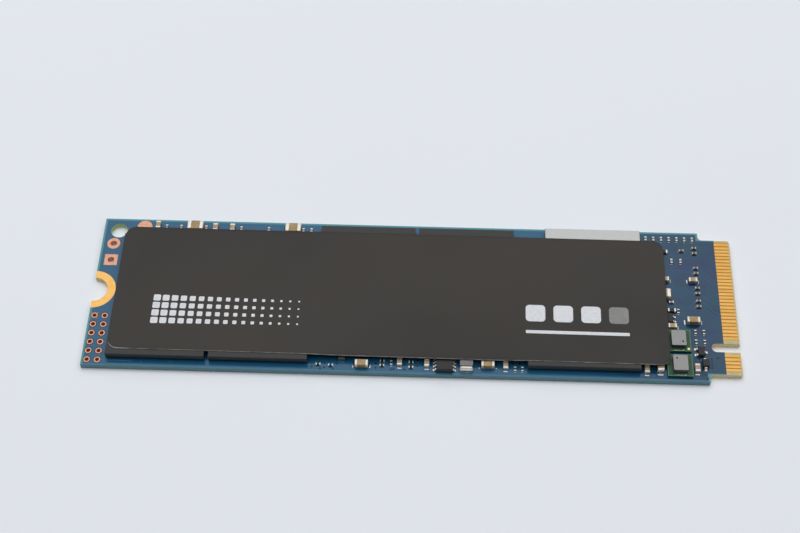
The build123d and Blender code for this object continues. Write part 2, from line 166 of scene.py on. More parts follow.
def make_laminate(name, light, dark, skin, thickness):
    """The cut edge of the board: plies in two tones over its height, with a skin of mask on both faces."""
    material = make_material(name, (light, dark), 0.25 * MM, (0.6, 0.8), relief=0.004 * MM)
    tree = material.node_tree
    shader = tree.nodes["Principled BSDF"]
    grain = shader.inputs["Base Color"].links[0].from_socket
    place = add_node(tree, "ShaderNodeTexCoord", {}).outputs["Object"]
    height = add_node(tree, "ShaderNodeSeparateXYZ", {"Vector": place}).outputs["Z"]
    height = add_step(tree, height, 0.0, thickness)
    plies = ((0.05, skin), (0.09, light), (0.3, light), (0.33, dark), (0.37, light), (0.62, light),
             (0.66, dark), (0.7, light), (0.91, light), (0.95, skin))
    plies = add_ramp(tree, height, plies)
    tree.links.new(add_mix(tree, LAMINATE_GRAIN, plies, grain), shader.inputs["Base Color"])
    return material


def read_rows(items, name, width):
    """An attribute of a mesh's vertices, edges or faces, as rows of numbers."""
    values = np.empty(len(items) * width, np.int32 if name == "vertices" else np.float32)
    items.foreach_get(name, values)
    return values.reshape(-1, width)


def set_materials(mesh, numbers):
    """Give each face of a mesh the material of that number."""
    mesh.polygons.foreach_set("material_index", np.asarray(numbers, np.int32))


def loose_boxes(node):
    """Lowest and highest corners of the separate solids of a CAD node.

    Places joined by an edge take the smaller of their two numbers, over and over, until each solid has one.
    """
    mesh = nodes[node].data
    points = read_rows(mesh.vertices, "co", 3).astype(float)
    place = np.unique(np.round(points, 7), axis=0, return_inverse=True)[1].ravel()
    ends = place[read_rows(mesh.edges, "vertices", 2)]
    label = np.arange(place.max() + 1)
    changed = True
    while changed:
        before = label.copy()
        smaller = label[ends].min(1)
        np.minimum.at(label, ends[:, 0], smaller)
        np.minimum.at(label, ends[:, 1], smaller)
        changed = (label != before).any()
    solid = label[place]
    groups = [points[solid == number] for number in np.unique(solid)]
    return np.array([group.min(0) for group in groups]), np.array([group.max(0) for group in groups])


board_low, board_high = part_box("circuit_board")
contact_start, contact_end = (corner.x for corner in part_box("edge_contacts_top"))
mask_blue = make_material(
    "mask_blue", ((12, 56, 86), (18, 64, 96)), 6 * MM, (0.08, 0.14), relief=0.002 * MM
)
add_drift(mask_blue, (36, 52, 100), 3.5 * MM, 0.6)
add_drift(mask_blue, (20, 78, 100), 2.2 * MM, 0.5)
add_band(mask_blue, (30, 94, 130), FIELD_BLEND, share=0.85, X=(board_low.x, FIELD_START))
add_band(mask_blue, (26, 84, 118), MASK_DEPTH, share=0.7, Z=(board_low.z, board_high.z / 2))
add_band(mask_blue, (53, 110, 136), MASK_EDGE / 2, Y=(board_low.y, board_low.y + MASK_EDGE))
shoulder = board_high.x - TONGUE_LENGTH - MASK_EDGE
tongue_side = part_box("edge_contacts_top")[1].y + TONGUE_MARGIN - TONGUE_STRIP
for limits in (
    {"X": (board_low.x, board_low.x + MASK_EDGE)},
    {"Y": (board_high.y - MASK_EDGE, board_high.y)},
    {"X": (shoulder, board_high.x), "Y": (tongue_side, board_high.y)},
    {"X": (shoulder, board_high.x), "Y": (board_low.y, -tongue_side)},
):
    add_band(mask_blue, (70, 144, 152), MASK_EDGE / 2, **limits)
edge_laminate = make_laminate(
    "edge_laminate", (106, 142, 154), (80, 116, 128), (66, 124, 152), board_high.z
)
add_drift(edge_laminate, (98, 146, 134), 7 * MM, 0.5)
bare_laminate = make_laminate(
    "bare_laminate", (240, 226, 184), (176, 128, 74), (206, 196, 154), board_high.z
)
hole_laminate = make_laminate(
    "hole_laminate", (186, 204, 156), (146, 166, 116), (150, 190, 160), board_high.z
)
tongue_laminate = make_material(
    "tongue_laminate", ((184, 172, 122), (206, 196, 150)), 0.8 * MM, (0.5, 0.65), relief=0.004 * MM
)
finger_low, finger_high = loose_boxes("edge_contacts_top")
order = finger_low[:, 1].argsort()
key_slot = np.diff(finger_low[order, 1]).argmax() + 1
for group in (order[:key_slot], order[key_slot:]):
    start, end = finger_low[group, 1].min(), finger_high[group, 1].max()
    add_band(tongue_laminate, (184, 132, 62), CONTACT_BLEND, Y=(start, end))
add_band(tongue_laminate, (206, 158, 84), GILT_BLEND, Y=(end, end + GILT_STRIP))
add_band(tongue_laminate, (182, 176, 126), CONTACT_BLEND, X=(contact_end, board_high.x))

masked_board = bpy.data.objects.new("masked_board", nodes["circuit_board"].data.copy())
bpy.context.scene.collection.objects.link(masked_board)
board_mesh = masked_board.data
corners = read_rows(board_mesh.vertices, "co", 3)
corners[:, 2] = np.maximum(corners[:, 2], MASK_DEPTH)
board_mesh.vertices.foreach_set("co", corners.ravel())
board_mesh.materials.clear()
for material in (mask_blue, edge_laminate, bare_laminate, tongue_laminate, hole_laminate):
    board_mesh.materials.append(material)
middles = read_rows(board_mesh.polygons, "center", 3)
level = np.abs(read_rows(board_mesh.polygons, "normal", 3)[:, 2]) > LEVEL_LIMIT
at_contacts = middles[:, 0] > contact_start
on_outline = np.abs(middles[:, 1]) > board_high.y - OUTLINE_SLACK
on_outline |= middles[:, 0] < board_low.x + OUTLINE_SLACK
in_hole = (middles[:, 1] > board_high.y / 2) & (middles[:, 0] < 0)
on_walls = np.where(on_outline, 1, np.where(in_hole, 4, 2))
set_materials(board_mesh, np.where(level, np.where(at_contacts, 3, 0), on_walls))
board_mesh.update()
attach(masked_board, "root")
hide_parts("circuit_board")


# Copper traces under the mask: foil etched into lines before the mask goes on, so each one shows as a low
# ridge of the same blue. Lane pairs run from the contacts to the controller, and a bus to the flash
# packages.
TRACE_WIDTH = 0.15 * MM
TRACE_LIFT = 0.014 * MM
TRACE_SLOPE = 0.03 * MM
LANE_X = 35.38 * MM           # row of coupling capacitors in front of the contacts
LANE_SLACK = 0.1 * MM         # middle of a capacitor to that row, at most
LANE_DROP = 1.6 * MM          # from a capacitor towards the near edge, to its contact
LANE_RUNS = (-0.35 * MM, 2.4 * MM, 5.0 * MM, 7.3 * MM)
PAIR_GAP = 0.3 * MM
CHIP_REACH = 0.3 * MM         # middle of a capacitor to the start of its trace
EYELET_REACH = 0.4 * MM       # middle of a header ring to the start of its trace
LANE_LEAD = 0.15 * MM         # straight start of a lane before its slant
NEAR_TRACE = ((-37.3 * MM, -9.95 * MM), (-37.04 * MM, -10.21 * MM), (-33.95 * MM, -10.21 * MM))
BUS_LINES = 16
BUS_PITCH = 0.24 * MM
BUS_SPREAD = 2.6              # pitch at the controller, as a multiple of the pitch of the bus
BUS_INSET = 1.5 * MM          # side of the controller to the start of the bus
BUS_LEAD = 0.3 * MM
BUS_END = 4 * MM              # middle of a flash package to the end of a line, across the card
BUS_STEP = 2 * MM             # and along it
FAN_LENGTHS = (0.6 * MM, 1.2 * MM, 1.8 * MM)


def ring_faces(rings, around, copies=1):
    """Faces of closed rings in a row, as three groups: the quads between them, first lids and last lids."""
    ring, step = np.meshgrid(np.arange(rings - 1) * around, np.arange(around), indexing="ij")
    following = (step + 1) % around
    quads = np.stack((ring + step, ring + following, ring + around + following, ring + around + step), -1)
    first = np.arange(around)[::-1][None]
    last = np.arange(around)[None] + (rings - 1) * around
    offset = (np.arange(copies) * rings * around)[:, None, None]
    parts = quads.reshape(-1, 4), first, last
    return [(part[None] + offset).reshape(-1, part.shape[-1]) for part in parts]


def build_piece(name, vertices, faces, materials, smooth_angle=40):
    """A mesh object of whole arrays: groups of faces with equal corner counts, smooth at shallow angles."""
    mesh = bpy.data.meshes.new(name)
    corner_lists = [corners for group in faces for corners in np.asarray(group).tolist()]
    mesh.from_pydata(np.asarray(vertices).reshape(-1, 3).tolist(), [], corner_lists)
    for material in materials:
        mesh.materials.append(material)
    mesh.shade_smooth()
    mesh.set_sharp_from_angle(angle=math.radians(smooth_angle))
    piece = bpy.data.objects.new(name, mesh)
    bpy.context.scene.collection.objects.link(piece)
    return piece


def carry(path, profile):
    """A profile carried along a path in a plane.

    At each point it stands square to the middle of the two runs, widened by one over the cosine of half the
    turn, so that the runs keep their width. Each row is the place on the plane's two axes and the height.
    """
    path, profile = np.asarray(path, float), np.asarray(profile, float)
    runs = np.diff(path, axis=0)
    runs /= np.linalg.norm(runs, axis=1)[:, None]
    both = np.vstack((runs[:1], runs)) + np.vstack((runs, runs[-1:]))
    across = np.stack((-both[:, 1], both[:, 0]), 1) * 2 / (both ** 2).sum(1)[:, None]
    plane = path[:, None] + across[:, None] * profile[None, :, :1]
    height = np.broadcast_to(profile[None, :, 1:], (len(path), len(profile), 1))
    return np.concatenate((plane, height), 2)


def build_traces(name, paths, level, side, material):
    """Ridges along paths on one face of the board: side is 1 on the upper face and -1 on the underside."""
    half = TRACE_WIDTH / 2
    profile = ((-half, 0), (half, 0), (half - TRACE_SLOPE, TRACE_LIFT), (TRACE_SLOPE - half, TRACE_LIFT))
    vertices, faces, start = [], [], 0
    for path in paths:
        ridge = carry(path, profile) * (1, 1, side) + (0, 0, level)
        faces += [(group + start)[:, ::side] for group in ring_faces(len(path), len(profile))]
        vertices.append(ridge.reshape(-1, 3))
        start += len(path) * len(profile)
    return build_piece(name, np.concatenate(vertices), faces, (material,))


def slanted(start, end, lead):
    """A path along X that changes its Y in one slanted run at 45 degrees, after a straight lead."""
    way = math.copysign(1, end[0] - start[0])
    turn = start[0] + way * lead
    return (start, (turn, start[1]), (turn + way * abs(end[1] - start[1]), end[1]), end)


mask_over_copper = make_material(
    "mask_over_copper", ((20, 70, 98), (30, 78, 110)), 3 * MM, (0.1, 0.16), relief=0.002 * MM
)
add_band(mask_over_copper, (44, 102, 136), FIELD_BLEND, share=0.85, X=(board_low.x, FIELD_START))
low, high = loose_boxes("chip_0603_bodies")
capacitors = ((low + high) / 2)[:, :2]
capacitors = capacitors[np.abs(capacitors[:, 0] - LANE_X) < LANE_SLACK]
capacitors = capacitors[capacitors[:, 1].argsort()][-2 * len(LANE_RUNS):]
contact_rows = ((finger_low + finger_high) / 2)[:, 1]
controller_low, controller_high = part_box("controller_substrate")
upper_paths = []
for index, (x, y) in enumerate(capacitors):
    row = contact_rows[np.abs(contact_rows - (y - LANE_DROP)).argmin()]
    run = LANE_RUNS[index // 2] + (index % 2 - 0.5) * PAIR_GAP
    upper_paths.append(slanted((x + CHIP_REACH, y), (contact_start, row), LANE_LEAD))
    upper_paths.append(slanted((x - CHIP_REACH, y), (controller_high.x, run), LANE_LEAD))
header_low, header_high = loose_boxes("header_eyelets")
flash_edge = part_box("flash_substrate_1")[0].x
for x, y in ((header_low + header_high) / 2)[:, :2]:
    if x > header_high[:, 0].min():
        upper_paths.append(((x + EYELET_REACH, y), (flash_edge, y)))
upper_paths.append(NEAR_TRACE)
upper_traces = build_traces("upper_traces", upper_paths, board_high.z, 1, mask_over_copper)
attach(upper_traces, "root")

under_paths, under_ends = [], []
flash_middles = [sum(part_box(f"flash_substrate_{number}"), Vector()) / 2 for number in (1, 2, 3, 4)]
controller_middle = (controller_low + controller_high) / 2
for line in range(BUS_LINES):
    y = (line - (BUS_LINES - 1) / 2) * BUS_PITCH
    package = flash_middles[line % 4]
    start = (controller_low.x + BUS_INSET, controller_middle.y + y * BUS_SPREAD)
    side = 1 if line >= BUS_LINES / 2 else -1
    end_y = package.y + side * BUS_END
    end_x = package.x - side * (line // 4 % 2 + 0.5) * BUS_STEP
    turn = end_x + abs(end_y - y)
    fan = start[0] - BUS_LEAD
    drop = abs(start[1] - y)
    under_paths.append((start, (fan, start[1]), (fan - drop, y), (turn, y), (end_x, end_y)))
    under_ends += [start, (end_x, end_y)]
contact_low, contact_high = loose_boxes("edge_contacts_bottom")
for index, y in enumerate(np.sort(((contact_low + contact_high) / 2)[:, 1])):
    end = (contact_start - FAN_LENGTHS[index % len(FAN_LENGTHS)], y)
    under_paths.append(((contact_start, y), end))
    under_ends.append(end)
under_traces = build_traces("under_traces", under_paths, MASK_DEPTH, -1, mask_over_copper)
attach(under_traces, "root")


# Vias: small holes drilled through the board, plated and tented with mask. Each one shows as a low ring
# with a dark dimple, on both faces, and the packages' own vias show on the underside only.
# The upper vias near the header are drawn without the dark dimple: painted light, for the pale look their
# domes take from reflection.
VIA_PROFILE = np.array(((0.2, 0.0), (0.17, 0.016), (0.15, 0.016), (0.1, 0.001))) * MM
VIA_SIDES = 8
VIA_STUB = 0.55 * MM          # from a chip's tinned end to its via
VIA_BESIDE = 0.3 * MM         # and to one side
VIA_GAP = 0.27 * MM           # to any part, at least
VIA_MARGIN = 0.5 * MM         # to the edges and the contacts, at least
NEAR_VIAS = (                 # along and across, among the small parts of the near edge
    (34.43, -7.74), (34.88, -7.74), (34.42, -8.16), (34.88, -8.17), (36.35, -7.8), (36.33, -8.14),
    (36.37, -8.6), (36.35, -9.03), (37.11, -7.61), (35.12, -9.72), (35.48, -9.74), (35.07, -10.08),
    (35.45, -10.09), (35.64, -10.55), (-10.91, -10.63), (-9.37, -10.59), (-2.34, -10.47),
    (-33.95, -10.21), (-32.66, -10.31), (-29.11, -10.15),
)
VIA_LIMIT = 14 * MM           # the rest of the vias lie short of this, near the flash packages
PAINTED_PALE_VIA_LIMIT = -20 * MM       # and those of the upper face short of this get no dark dimple: painted light, the pale look their domes take from reflection there
FLASH_GRID = ((-2.5, -1.5, 1.5, 2.5), (-7, -6, -5, -4, 4, 5, 6, 7))
CACHE_GRID = ((-4, -3.2, -2.4, 2.4, 3.2, 4), (-2.4, -1.6, -0.8, 0, 0.8, 1.6, 2.4))
CONTROLLER_GRID = ((-4, -3.2, -2.4, -0.8, 0, 0.8, 2.4, 3.2, 4),) * 2


def outward(low, high):
    """Which way the tinned ends of chips face: away from the nearest other end, which is the same chip's."""
    middle = (low + high)[:, :2] / 2
    apart = np.linalg.norm(middle[:, None] - middle[None], axis=2)
    np.fill_diagonal(apart, np.inf)
    away = middle - middle[apart.argmin(1)]
    return np.round(away / np.linalg.norm(away, axis=1)[:, None])


def turned(places, profile, sides, side=1):
    """A profile of radius and height turned about an upright axis, once at each place."""
    profile, places = np.asarray(profile), np.asarray(places, float)
    angle = np.arange(sides) * 2 * np.pi / sides
    ring = np.stack((np.cos(angle), np.sin(angle) * side, np.zeros(sides)), 1)
    shape = profile[:, None, :1] * ring[None] + profile[:, None, 1:] * (0, 0, side)
    return places[:, None, None] + shape[None]


def grid_places(node, grid):
    """Places of a grid of columns and rows, in millimetres about the middle of a CAD node."""
    low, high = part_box(node)
    columns, rows = np.meshgrid(*grid)
    middle = np.array(((low + high) / 2)[:2])
    return np.stack((columns.ravel(), rows.ravel()), 1) * MM + middle


def clear_of_parts(points, gap):
    """The points that keep a gap from every part on the board, and from its edges and the contacts."""
    keep = np.abs(points[:, 1]) < board_high.y - VIA_MARGIN
    keep &= points[:, 0] < contact_start - VIA_MARGIN
    for node in nodes:
        low, high = loose_boxes(node)
        low, high = low[(high[:, 2] > board_high.z)], high[(high[:, 2] > board_high.z)]
        if node in ("circuit_board", "product_label") or not len(low):
            continue
        apart = np.maximum(low[None, :, :2] - points[:, None], points[:, None] - high[None, :, :2])
        keep &= (apart.max(2) > gap).all(1)
    return points[keep]


low, high = loose_boxes("chip_0603_ends")
facing = outward(low, high)
beside = np.stack((-facing[:, 1], facing[:, 0]), 1)
stub_ends = ((low + high) / 2)[:, :2] + facing * VIA_STUB + beside * VIA_BESIDE
stub_ends = stub_ends[(stub_ends[:, 0] < VIA_LIMIT) & (stub_ends[:, 1] < 0)]
through = np.concatenate((np.array(NEAR_VIAS) * MM, clear_of_parts(stub_ends, VIA_GAP)))
hidden = [grid_places(f"flash_substrate_{number}", FLASH_GRID) for number in (1, 2, 3, 4)]
hidden.append(grid_places("cache_substrate", CACHE_GRID))
hidden.append(grid_places("controller_substrate", CONTROLLER_GRID))
below = np.concatenate((through, *hidden, np.array(under_ends)))
via_dark = make_material("via_dark", ((2, 14, 40), (6, 24, 58)), 0.3 * MM, (0.06, 0.1))
for name, points, side, level in (
    ("upper_vias", through, 1, board_high.z),
    ("under_vias", below, -1, MASK_DEPTH),
):
    points = np.column_stack((points, np.full(len(points), level)))
    vertices = turned(points, VIA_PROFILE, VIA_SIDES, side)
    faces = ring_faces(len(VIA_PROFILE), VIA_SIDES, len(points))
    vias = build_piece(name, vertices, faces, (mask_over_copper, via_dark))
    slope = np.repeat(np.arange(len(VIA_PROFILE) - 1) == len(VIA_PROFILE) - 2, VIA_SIDES)
    # Dark dimples go on every via of the underside and on those of the upper face past the limit; the rest
    # are left pale as painted light.
    dark_dimple = (points[:, 0] > PAINTED_PALE_VIA_LIMIT) | (side < 0)
    dark = (dark_dimple[:, None] & slope).ravel(), np.zeros(len(points), bool), dark_dimple
    set_materials(vias.data, np.concatenate(dark))
    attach(vias, "root")


# Edge contacts: copper fingers plated with nickel and hard gold, on both faces of the tongue. Pushing the
# card into its socket leaves fine lengthwise marks in the gold.
UPRIGHT_LIMIT = 0.5           # upward part of a normal, short of which a face counts as upright

contact_gold = make_material(
    "contact_gold", ((206, 154, 76), (231, 185, 107)), 0.35 * MM, (0.28, 0.42), metallic=1.0,
    relief=0.002 * MM, stretch=(0.15, 1.0, 1.0)
)


def dress(node, material, side_material=None):
    """Give a CAD node its finish, and its upright faces another one where they differ."""
    mesh = nodes[node].data
    mesh.materials.clear()
    mesh.materials.append(material)
    if side_material:
        mesh.materials.append(side_material)
        rise = np.abs(read_rows(mesh.polygons, "normal", 3)[:, 2])
        set_materials(mesh, rise < UPRIGHT_LIMIT)


for name in ("edge_contacts_top", "edge_contacts_bottom"):
    dress(name, contact_gold)


# Ground ring: a half ring of copper round the screw notch, left clear of mask and plated with soft gold.
# The screw's head presses on it, so it is a little uneven.
ring_gold = make_material(
    "ring_gold", ((228, 174, 94), (247, 200, 124)), 0.8 * MM, (0.3, 0.45), metallic=1.0,
    relief=0.004 * MM
)
for name in ("ground_ring_top", "ground_ring_bottom"):
    dress(name, ring_gold)


# Header holes, test points and fiducial: bare copper rings round drilled and plated holes, and a round
# pad, kept bright by a clear film. The copper is a little blotched where the film is uneven.
CLEARANCE = 0.09 * MM         # gap in the mask round a header ring
CLEARANCE_HEIGHT = 0.004 * MM
CLEARANCE_SIDES = 20

bare_copper = make_material(
    "bare_copper", ((200, 142, 114), (232, 182, 156)), 0.4 * MM, (0.32, 0.5), metallic=1.0,
    relief=0.003 * MM
)
# The plated walls of the header holes take a redder, duller copper than the rings: painted shade of the
# holes.
copper_barrel_shaded = make_material(
    "copper_barrel_shaded", ((188, 88, 50), (208, 112, 72)), 0.3 * MM, (0.4, 0.55), metallic=0.3,
    relief=0.003 * MM
)
bare_gap = make_material("bare_gap", ((20, 32, 50), (34, 46, 62)), 0.3 * MM, (0.5, 0.65))
dress("header_eyelets", bare_copper, copper_barrel_shaded)
dress("test_point_eyelets", bare_copper)
dress("fiducial_pad", bare_copper)

low, high = loose_boxes("header_eyelets")
places = np.column_stack(((low + high)[:, :2] / 2, np.full(len(low), board_high.z)))
radius = (high - low)[0, 0] / 2
outer = radius + CLEARANCE
profile = ((radius, 0.0), (outer, 0.0), (outer, CLEARANCE_HEIGHT), (radius, CLEARANCE_HEIGHT))
vertices = turned(places, profile, CLEARANCE_SIDES)
loop = ring_faces(len(profile) + 1, CLEARANCE_SIDES)[0] % (len(profile) * CLEARANCE_SIDES)
loop = loop[None] + (np.arange(len(places)) * len(profile) * CLEARANCE_SIDES)[:, None, None]
clearances = build_piece("header_clearances", vertices, [loop.reshape(-1, 4)], (bare_gap,))
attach(clearances, "root")


# Solder balls: tin alloy spheres under the packages, melted flat against the pads above and below them.
# Only the outer rows can be seen, in the gap under each package.
BALL_PROFILE = ((0.6, 0.0), (0.9, 0.2), (1.0, 0.5), (0.9, 0.8), (0.6, 1.0))
BALL_SIDES = 8
BALL_NODES = [f"flash_balls_{number}" for number in (1, 2, 3, 4)] + ["cache_balls", "controller_balls"]

solder = make_material(
    "solder", ((188, 188, 190), (232, 231, 230)), 0.2 * MM, (0.18, 0.34), metallic=1.0,
    relief=0.006 * MM
)
corners = [loose_boxes(node) for node in BALL_NODES]
low = np.concatenate([pair[0] for pair in corners])
high = np.concatenate([pair[1] for pair in corners])
feet = np.column_stack(((low + high)[:, :2] / 2, low[:, 2]))
radius, height = (high - low)[0, 0] / 2, (high - low)[0, 2]
vertices = turned(feet, np.array(BALL_PROFILE) * (radius, height), BALL_SIDES)
faces = ring_faces(len(BALL_PROFILE), BALL_SIDES, len(feet))
solder_balls = build_piece("solder_balls", vertices, faces, (solder,))
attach(solder_balls, "root")
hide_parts(*BALL_NODES)


# Memory packages: dies moulded in black epoxy filled with glass on a thin dark green substrate, then sawn
# apart. The moulding's upper face is matt, and its sawn sides are a little smoother; their cooler tone is
# painted light, the blue cast the sides take in shade.
moulding = make_material(
    "moulding", ((46, 45, 45), (64, 63, 62)), 0.09 * MM, (0.5, 0.7), relief=0.006 * MM
)
# The sawn sides' cooler tone is painted light: the blue cast they take in shade.
moulding_sides_painted_cast = make_material(
    "moulding_sides_painted_cast", ((46, 47, 49), (64, 65, 67)), 0.06 * MM, (0.35, 0.5), relief=0.004 * MM
)
package_board = make_material(
    "package_board", ((16, 28, 26), (28, 42, 36)), 0.4 * MM, (0.4, 0.6), relief=0.003 * MM
)

for number in (1, 2, 3, 4):
    dress(f"flash_body_{number}", moulding, moulding_sides_painted_cast)
    dress(f"flash_substrate_{number}", package_board)
dress("cache_body", moulding, moulding_sides_painted_cast)
dress("cache_substrate", package_board)


# Controller: a silicon die bonded to its substrate, under a pressed copper lid plated with dull nickel
# that takes its heat to the label. The lid's face is blasted, which gives it an even fine grain.
lid_nickel = make_material(
    "lid_nickel", ((186, 187, 187), (205, 205, 204)), 0.12 * MM, (0.42, 0.55), metallic=0.85,
    relief=0.003 * MM
)
die_silicon = make_material(
    "die_silicon", ((70, 76, 88), (92, 98, 110)), 1.5 * MM, (0.1, 0.2), metallic=0.4
)
dress("controller_lid", lid_nickel)
dress("controller_die", die_silicon)
dress("controller_substrate", package_board)


# Chip parts: bricks of ceramic or ferrite with a tinned cap at each end, dipped and fired, so the caps'
# edges are rounded. Capacitors are tan, resistors black, and the smallest chips brown, grey or black.
CAP_ROUNDING = 0.11           # share of a cap's height taken by its rounded edges
CAP_CORNER = 0.2              # corner radius seen from above, as a share of the cap's shorter side
CAP_STEPS = 3
COIL_ROUNDING = 0.45          # the same three for the end flanges of the wirewound inductor
COIL_CORNER = 0.46
COIL_STEPS = 6


def rounded_boxes(low, high, plan_radius, edge_radius, steps):
    """Boxes with rounded corners, one for each pair of opposite corners.

    Each ring is a rectangle with quarter circles for corners, and from the middle to the two ends the rings
    draw in along a quarter ellipse, as high as the edge radius and no wider than the corners allow.
    """
    quarter = np.linspace(0, np.pi / 2, steps)
    turn = (quarter[None] + np.arange(4)[:, None] * np.pi / 2).ravel()
    corner = np.repeat(((1, 1), (-1, 1), (-1, -1), (1, -1)), steps, axis=0)
    around = np.stack((np.cos(turn), np.sin(turn)), 1)
    lift = np.concatenate((-quarter[::-1], quarter))[:, None, None]
    end = np.repeat((-1, 1), steps)[:, None, None]
    plan_radius, edge_radius = (radius[:, None, None, None] for radius in (plan_radius, edge_radius))
    half = ((high - low) / 2)[:, None, None]
    middle = ((high + low) / 2)[:, None, None]
    inset = (1 - np.cos(lift)) * np.minimum(edge_radius, plan_radius)
    plan = corner * (half[..., :2] - plan_radius) + around * (plan_radius - inset)
    height = end * (half[..., 2:] - edge_radius) + np.sin(lift) * edge_radius
    return middle + np.concatenate((plan, np.broadcast_to(height, (*plan.shape[:3], 1))), 3)


ceramic_tan = make_material(
    "ceramic_tan", ((150, 126, 86), (178, 154, 110)), 0.5 * MM, (0.35, 0.5), relief=0.004 * MM
)
ceramic_cream = make_material(
    "ceramic_cream", ((158, 132, 102), (186, 164, 132)), 0.4 * MM, (0.35, 0.5), relief=0.004 * MM
)
ceramic_brown = make_material(
    "ceramic_brown", ((84, 70, 58), (120, 102, 84)), 0.3 * MM, (0.4, 0.55), relief=0.004 * MM
)
ceramic_grey = make_material(
    "ceramic_grey", ((112, 110, 106), (148, 145, 140)), 0.3 * MM, (0.4, 0.55), relief=0.004 * MM
)
glaze_black = make_material("glaze_black", ((16, 16, 18), (30, 30, 32)), 0.2 * MM, (0.25, 0.4))
ferrite = make_material(
    "ferrite", ((92, 90, 90), (150, 146, 146)), 0.18 * MM, (0.45, 0.65), metallic=0.2,
    relief=0.008 * MM
)
# The filter bead is the same grey ferrite as the inductor, painted darker, caps included: painted shade of
# the label over it.
ferrite_shaded = make_material(
    "ferrite_shaded", ((62, 62, 64), (96, 96, 98)), 0.18 * MM, (0.45, 0.65), relief=0.006 * MM
)
tinned = make_material(
    "tinned", ((232, 224, 210), (252, 246, 236)), 0.15 * MM, (0.3, 0.45), metallic=0.45,
    relief=0.004 * MM
)
tinned_dull = make_material(
    "tinned_dull", ((186, 174, 156), (222, 212, 196)), 0.12 * MM, (0.35, 0.5), metallic=0.4,
    relief=0.004 * MM
)
CHIP_FINISHES = {             # body, caps, and how far the solder reaches beyond a cap
    "capacitor_2012": (ceramic_tan, tinned, 0.2 * MM),
    "capacitor_1608": (ceramic_tan, tinned, 0.3 * MM),
    "capacitor_1005": (ceramic_cream, tinned, 0.24 * MM),
    "resistor_1005": (glaze_black, tinned, 0.12 * MM),
    "chip_0603": (ceramic_brown, tinned_dull, 0.09 * MM),
    "inductor": (ferrite, tinned, 0.1 * MM),
    # the bead's caps take the shaded ferrite rather than tin: painted shade
    "filter_bead": (ferrite_shaded, ferrite_shaded, 0.05 * MM),
}
for name, (body_material, cap_material, reach) in CHIP_FINISHES.items():
    dress(f"{name}_bodies", body_material)
    low, high = loose_boxes(f"{name}_ends")
    rounding, corner, steps = CAP_ROUNDING, CAP_CORNER, CAP_STEPS
    if name == "inductor":
        rounding, corner, steps = COIL_ROUNDING, COIL_CORNER, COIL_STEPS
    corner_radius = (high - low)[:, :2].min(1) * corner
    edge_radius = (high - low)[:, 2] * rounding
    vertices = rounded_boxes(low, high, corner_radius, edge_radius, steps)
    faces = ring_faces(*vertices.shape[1:3], len(low))
    caps = build_piece(f"{name}_caps", vertices, faces, (cap_material,), smooth_angle=60)
    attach(caps, "root")
    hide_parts(f"{name}_ends")


# Of the smallest chips, those along the card in front of the contacts are brown capacitors with dull caps,
# those of the far side are grey ones, and those of the near side are black resistors.
COUPLING_GAP = 1 * MM         # label to the first of the brown ones


def smallest_kind(low, high, along):
    """Which kind each of the smallest chips is: 0 brown, 1 grey, 2 black."""
    in_front = low[:, 0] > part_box("product_label")[1].x + COUPLING_GAP
    return np.where(along & in_front, 0, np.where(high[:, 1] > 0, 1, 2))


low, high = loose_boxes("chip_0603_bodies")
kind = smallest_kind(low, high, (high - low)[:, 0] > (high - low)[:, 1])
smallest = nodes["chip_0603_bodies"].data
smallest.materials.append(ceramic_grey)
smallest.materials.append(glaze_black)
centres = read_rows(smallest.polygons, "center", 3)
apart = np.abs(centres[:, None] - ((low + high) / 2)[None]).max(2)
set_materials(smallest, kind[apart.argmin(1)])
low, high = loose_boxes("chip_0603_ends")
bright = smallest_kind(low, high, outward(low, high)[:, 0] != 0) > 0
caps = bpy.data.objects["chip_0603_caps"].data
caps.materials.append(tinned)
sides = (2 * CAP_STEPS - 1) * 4 * CAP_STEPS
set_materials(caps, np.concatenate((np.repeat(bright, sides), bright, bright)))


# Solder joints of the chip parts: paste printed on the pads and melted, which climbs each tinned cap and
# sets in a hollow curve from the cap down to the end of the pad.
JOINT_STATIONS = 9
JOINT_CURVE = np.array((0.0, 0.06, 0.15, 0.3, 0.55, 0.82, 1.0))   # places from the cap to the end of the pad
JOINT_CLIMB = 0.5             # height on the cap, as a share of the cap's height
JOINT_TOE = 0.05              # height of the solder near the end of the pad, as a share of its climb
JOINT_FALL = 4                # power by which the solder falls from the cap
JOINT_TUCK = 0.1              # solder under the cap, as a share of its reach
JOINT_SPREAD = 0.98           # pad's width as a share of the cap's
PAD_POWER = 5                 # of the rounded rectangle that bounds the solder on its pad
PAD_SHARPNESS = 0.002         # least of that power's share, at the sides of the pad
PAD_MARGIN = 0.15 * MM        # end of a pad to the long edge, at least


